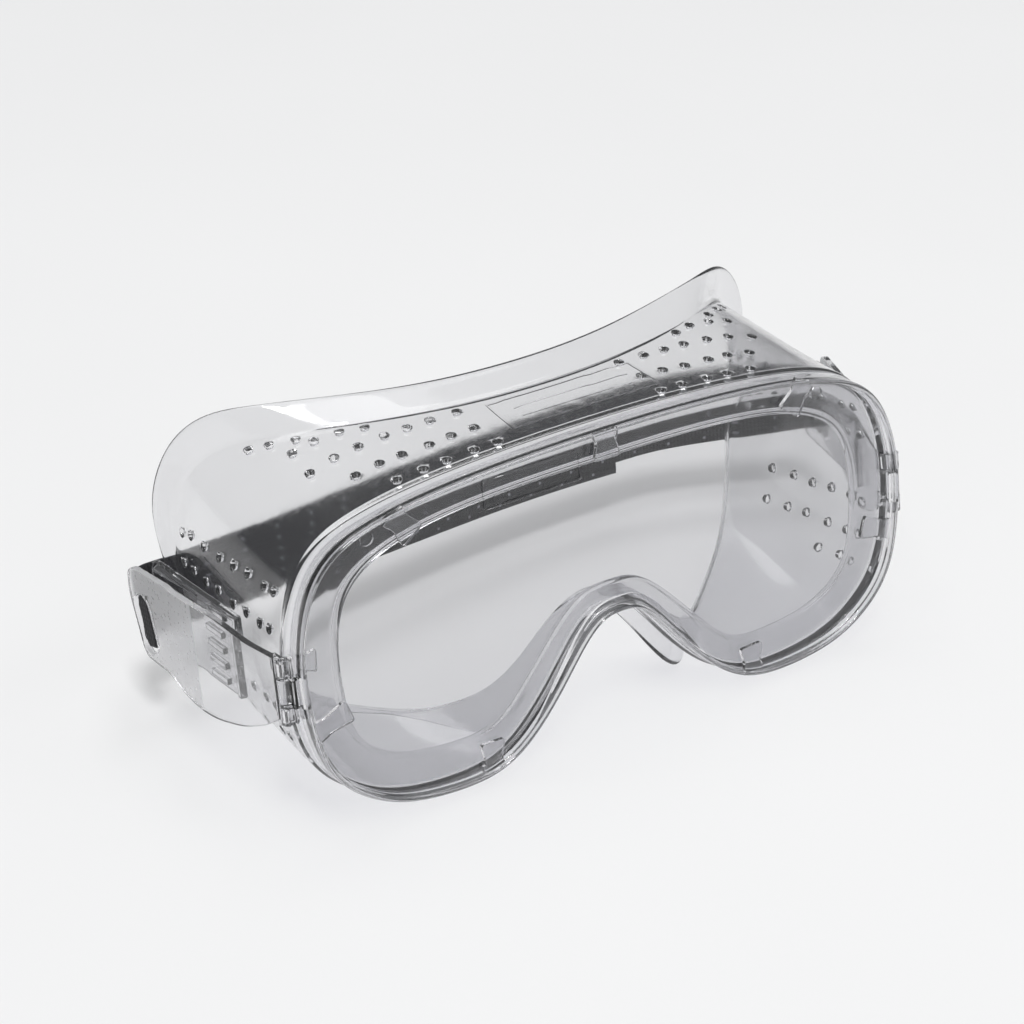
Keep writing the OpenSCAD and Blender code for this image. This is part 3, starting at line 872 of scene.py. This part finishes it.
def webbing(name):
    """Black elastic webbing: fine cross ribs, lengthwise yarns, soft fuzz and rows of pale stitches."""
    n = Nodes(name)
    uv = n.add("ShaderNodeUVMap", uv_map="webbing").outputs["UV"]
    split = n.add("ShaderNodeSeparateXYZ", {"Vector": uv})
    ribs = n.add("ShaderNodeTexWave", {"Vector": uv, "Scale": 32.0, "Distortion": 0.6, "Detail": 1.0},
                 wave_type="BANDS", bands_direction="X")
    yarns = n.add("ShaderNodeTexWave", {"Vector": uv, "Scale": 26.0, "Distortion": 0.3, "Detail": 1.0},
                  wave_type="BANDS", bands_direction="Y")
    fuzz = n.add("ShaderNodeTexNoise", {"Vector": uv, "Scale": 180.0, "Detail": 3.0, "Roughness": 0.65})
    weave = n.add("ShaderNodeMath", {0: ribs.outputs["Fac"], 1: yarns.outputs["Fac"]}, operation="MULTIPLY")
    height = n.add("ShaderNodeMath", {0: fuzz.outputs["Fac"], 1: 0.15, 2: weave.outputs[0]},
                   operation="MULTIPLY_ADD")
    colour = ramp(n, height.outputs[0], [(0.1, (0.006, 0.006, 0.008)), (0.9, (0.016, 0.016, 0.020))])

    def comb(value, pitch, width):
        """1 on stripes of the given pitch and width in mm. UVs are in units of 100 mm."""
        scaled = n.add("ShaderNodeMath", {0: value, 1: 100.0 / pitch, 2: 0.0}, operation="MULTIPLY_ADD")
        part = n.add("ShaderNodeMath", {0: scaled.outputs[0]}, operation="FRACT")
        centred = n.add("ShaderNodeMath", {0: part.outputs[0], 1: 0.5}, operation="SUBTRACT")
        size = n.add("ShaderNodeMath", {0: centred.outputs[0]}, operation="ABSOLUTE")
        inside = n.add("ShaderNodeMath", {0: size.outputs[0], 1: width / pitch / 2}, operation="LESS_THAN")
        return inside.outputs[0]

    rows = comb(split.outputs["X"], 10.0, 0.75)
    stitches = comb(split.outputs["Y"], 2.9, 0.7)
    dots = n.add("ShaderNodeMath", {0: rows, 1: stitches}, operation="MULTIPLY")
    speck = n.add("ShaderNodeTexNoise", {"Vector": uv, "Scale": 70.0, "Detail": 1.0})
    fade = n.add("ShaderNodeMath", {0: dots.outputs[0], 1: speck.outputs["Fac"]}, operation="MULTIPLY")
    mixed = n.add("ShaderNodeMix", {0: fade.outputs[0], 6: colour, 7: (0.45, 0.45, 0.5, 1)}, data_type="RGBA")
    bump = n.add("ShaderNodeBump", {"Height": height.outputs[0], "Strength": 0.35, "Distance": 0.0004})
    bsdf = n.add("ShaderNodeBsdfPrincipled", {"Base Color": mixed.outputs[2], "Roughness": 0.78,
                                              "Normal": bump.outputs["Normal"], "Sheen Weight": 0.06,
                                              "Sheen Roughness": 0.5})
    n.add("ShaderNodeOutputMaterial", {"Surface": bsdf.outputs[0]})
    return n.mat


def dress(obj, *mats):
    """Give a piece its materials, one for each zone of its faces."""
    zones = [poly.material_index for poly in obj.data.polygons]
    obj.data.materials.clear()
    for mat in mats:
        obj.data.materials.append(mat)
    for poly, zone in zip(obj.data.polygons, zones):
        poly.material_index = min(zone, len(mats) - 1)


pvc = clear_plastic("clear_vinyl", (0.84, 0.84, 0.852), 0.07, 1.40, 0.10, 60.0, haze=0.01)
# The lens's grey tint is partly its own and partly painted shade: it is set darker than the lens plastic so that
# the floor seen through the lens looks shadowed, while shadows on the open floor stay light.
lens_tint_with_painted_shade = clear_plastic("lens_tint_painted_shade", (0.73, 0.73, 0.742), 0.012, 1.43, 0.01, 25.0)
clip_plastic = clear_plastic("clear_clip", (0.88, 0.88, 0.89), 0.04, 1.42, 0.06, 120.0, haze=0.02)
frosted = clear_plastic("frosted_clip", (0.93, 0.93, 0.94), 0.35, 1.42, 0.08, 240.0, haze=0.42)
dress(body, pvc)
dress(lens, lens_tint_with_painted_shade)
for word in ("left", "right"):
    dress(bpy.data.objects[word + "_arm"], clip_plastic, frosted)
    dress(bpy.data.objects[word + "_keeper"], clip_plastic)
strap_cloth = webbing("strap_webbing")
for piece in (left_band, middle_band, right_band, tail):
    dress(piece, strap_cloth)

# ---------------------------------------------------------------- stage
floor = mesh_object("floor", [(-4, -4, 0), (4, -4, 0), (4, 4, 0), (-4, 4, 0)], [(0, 1, 2, 3)])
n = Nodes("pale_floor")
grain = n.add("ShaderNodeTexNoise", {"Vector": n.add("ShaderNodeTexCoord").outputs["Object"], "Scale": 6.0})
floor_colour = ramp(n, grain.outputs["Fac"], [(0.2, (0.79, 0.79, 0.79)), (0.8, (0.81, 0.81, 0.81))])
floor_bsdf = n.add("ShaderNodeBsdfPrincipled", {"Base Color": floor_colour, "Roughness": 0.9})
n.add("ShaderNodeOutputMaterial", {"Surface": floor_bsdf.outputs[0]})
dress(floor, n.mat)


def soft_light(name, location, target, size, power):
    data = bpy.data.lights.new(name, "AREA")
    data.shape = "RECTANGLE"
    data.size = size
    data.size_y = size
    data.energy = power
    obj = bpy.data.objects.new(name, data)
    obj.location = location
    obj.rotation_euler = (Vector(target) - Vector(location)).to_track_quat("-Z", "Y").to_euler()
    bpy.context.collection.objects.link(obj)


soft_light("key", (-0.4, -0.9, 2.4), (0, 0, 0.03), 0.5, 28.0)
soft_light("fill", (0.9, -0.9, 0.9), (0, 0, 0.03), 0.7, 2.0)
soft_light("top", (0.1, 0.5, 2.8), (0, 0.3, 0), 2.4, 54.0)
world = bpy.data.worlds.new("studio")
world.use_nodes = True
world.node_tree.nodes["Background"].inputs[0].default_value = (0.8, 0.82, 0.85, 1)
world.node_tree.nodes["Background"].inputs[1].default_value = 0.2
bpy.context.scene.world = world
bpy.context.scene.view_settings.view_transform = "Standard"
